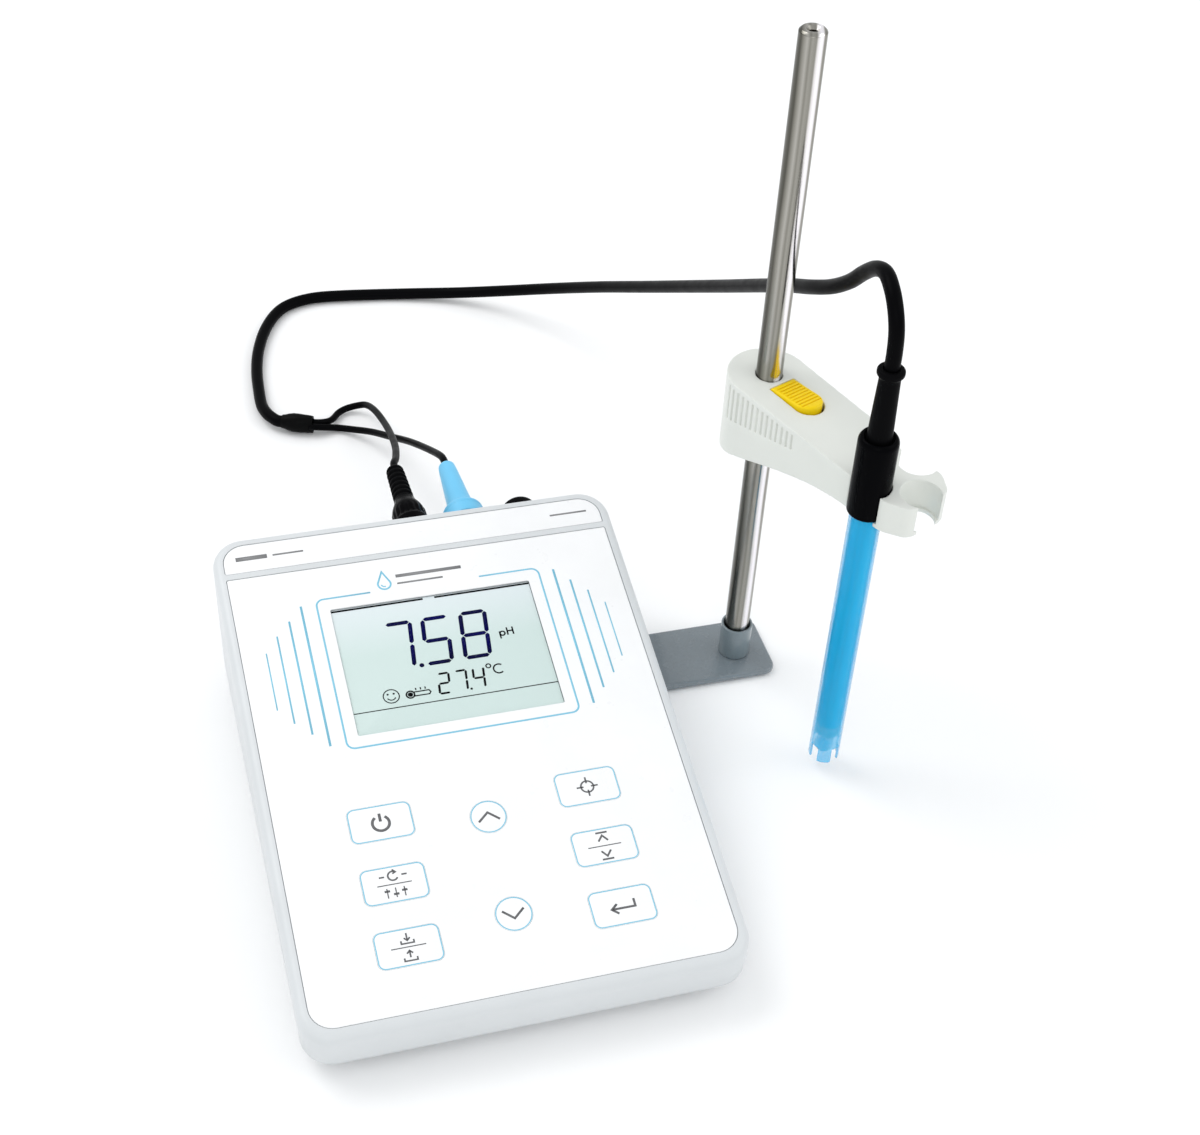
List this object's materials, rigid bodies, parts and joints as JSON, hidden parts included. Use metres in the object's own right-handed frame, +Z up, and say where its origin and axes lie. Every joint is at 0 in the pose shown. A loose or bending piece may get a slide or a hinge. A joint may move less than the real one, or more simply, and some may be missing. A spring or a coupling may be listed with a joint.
{
  "type": "ph meter",
  "caption": "Bench pH meter: sloping case with display and keypad, side stand with rod, sliding electrode holder, blue electrode, cable and plugs.",
  "frame": {"origin": "on the table, under the middle of the whole object without its cable", "axes": "+X to the user's right, +Y to the back of the meter, +Z up"},
  "size_m": [0.2526, 0.4674, 0.286],
  "materials": {
    "case": "fine-textured light grey moulded plastic",
    "label": "white polyester film, satin",
    "key": "white film over a key cap, satin",
    "window": "clear display window",
    "display": "pale mint display glass",
    "diffuser": "milky diffuser",
    "board": "green circuit board",
    "dome": "film with metal domes",
    "rubber": "black rubber",
    "black": "black moulded plastic and cable jacket",
    "steel": "ground stainless steel",
    "zinc": "zinc plated screws",
    "nickel": "nickel plated connector metal",
    "brass": "plain brass",
    "plate": "glossy grey powder coat on steel",
    "collar": "satin grey paint on steel",
    "holder": "light grey moulded plastic",
    "bush": "natural acetal",
    "button": "yellow moulded plastic",
    "electrode": "translucent blue tube",
    "glass": "clear electrode glass",
    "boot": "light blue flexible boot"
  },
  "bodies": {
    "root": {"upper_case": "case", "lower_case": "case", "header_label": "label", "keypad_overlay": "label", "display_window": "window", "display_glass": "display", "backlight": "diffuser", "main_board": "board", "dome_sheet": "dome", "foot_left_front": "rubber", "foot_right_front": "rubber", "foot_left_rear": "rubber", "foot_right_rear": "rubber", "supply_cap": "rubber", "probe_relief": "rubber", "plate_pad": "rubber", "cable_joint": "rubber", "supply_socket": "black", "probe_plug": "black", "cable_lying": "black", "probe_lead": "black", "electrode_lead": "black", "rod": "steel", "case_screw_left_front": "zinc", "case_screw_right_front": "zinc", "case_screw_left_rear": "zinc", "case_screw_right_rear": "zinc", "board_screw_left_front": "zinc", "board_screw_right_front": "zinc", "board_screw_left_rear": "zinc", "board_screw_right_rear": "zinc", "plate_screw_1": "zinc", "plate_screw_2": "zinc", "rod_screw": "zinc", "probe_socket": "nickel", "electrode_socket": "nickel", "electrode_plug": "nickel", "base_plate": "plate", "rod_collar": "collar", "electrode_boot": "boot"},
    "carriage": {"rod_bush": "bush"},
    "arm": {"holder_arm": "holder", "clamp_shoe": "brass", "button_spring": "steel", "electrode_cap": "black", "electrode_body": "electrode", "sensor_carrier": "holder", "glass_bulb": "glass", "temperature_probe": "steel", "strain_relief": "rubber", "cable_hanging": "black"},
    "button": {"release_button": "button"},
    "key_power": {"key_power": "key"},
    "key_mode": {"key_mode": "key"},
    "key_memory": {"key_memory": "key"},
    "key_cal": {"key_cal": "key"},
    "key_max_min": {"key_max_min": "key"},
    "key_enter": {"key_enter": "key"},
    "key_up": {"key_up": "key"},
    "key_down": {"key_down": "key"}
  },
  "joints": [
    {"name": "holder_slide", "type": "slide", "parent": "root", "child": "carriage", "axis": [0, 0, 1], "range_m": [-0.004, 0.13], "deforming": ["cable_hanging", "cable_lying"]},
    {"name": "holder_swivel", "type": "hinge", "parent": "carriage", "child": "arm", "pos_m": [0.0833, 0.0575, 0.1464], "axis": [0, 0, 1], "range_deg": [-45, 110], "deforming": ["cable_hanging", "cable_lying"]},
    {"name": "button_press", "type": "hinge", "parent": "arm", "child": "button", "pos_m": [0.08659, 0.04956, 0.141], "axis": [0.9239, 0.3827, 0], "range_deg": [0, 5], "stiffness_Nm_per_rad": 0.6, "springref_deg": -2.86, "deforming": ["button_spring"]},
    {"name": "key_power_press", "type": "slide", "parent": "root", "child": "key_power", "axis": [0, 0.1994, -0.9799], "range_m": [0, 0.0004], "stiffness_N_per_m": 2500, "springref_m": -0.0002},
    {"name": "key_mode_press", "type": "slide", "parent": "root", "child": "key_mode", "axis": [0, 0.1994, -0.9799], "range_m": [0, 0.0004], "stiffness_N_per_m": 2500, "springref_m": -0.0002},
    {"name": "key_memory_press", "type": "slide", "parent": "root", "child": "key_memory", "axis": [0, 0.1994, -0.9799], "range_m": [0, 0.0004], "stiffness_N_per_m": 2500, "springref_m": -0.0002},
    {"name": "key_cal_press", "type": "slide", "parent": "root", "child": "key_cal", "axis": [0, 0.1994, -0.9799], "range_m": [0, 0.0004], "stiffness_N_per_m": 2500, "springref_m": -0.0002},
    {"name": "key_max_min_press", "type": "slide", "parent": "root", "child": "key_max_min", "axis": [0, 0.1994, -0.9799], "range_m": [0, 0.0004], "stiffness_N_per_m": 2500, "springref_m": -0.0002},
    {"name": "key_enter_press", "type": "slide", "parent": "root", "child": "key_enter", "axis": [0, 0.1994, -0.9799], "range_m": [0, 0.0004], "stiffness_N_per_m": 2500, "springref_m": -0.0002},
    {"name": "key_up_press", "type": "slide", "parent": "root", "child": "key_up", "axis": [0, 0.1994, -0.9799], "range_m": [0, 0.0004], "stiffness_N_per_m": 2500, "springref_m": -0.0002},
    {"name": "key_down_press", "type": "slide", "parent": "root", "child": "key_down", "axis": [0, 0.1994, -0.9799], "range_m": [0, 0.0004], "stiffness_N_per_m": 2500, "springref_m": -0.0002}
  ]
}
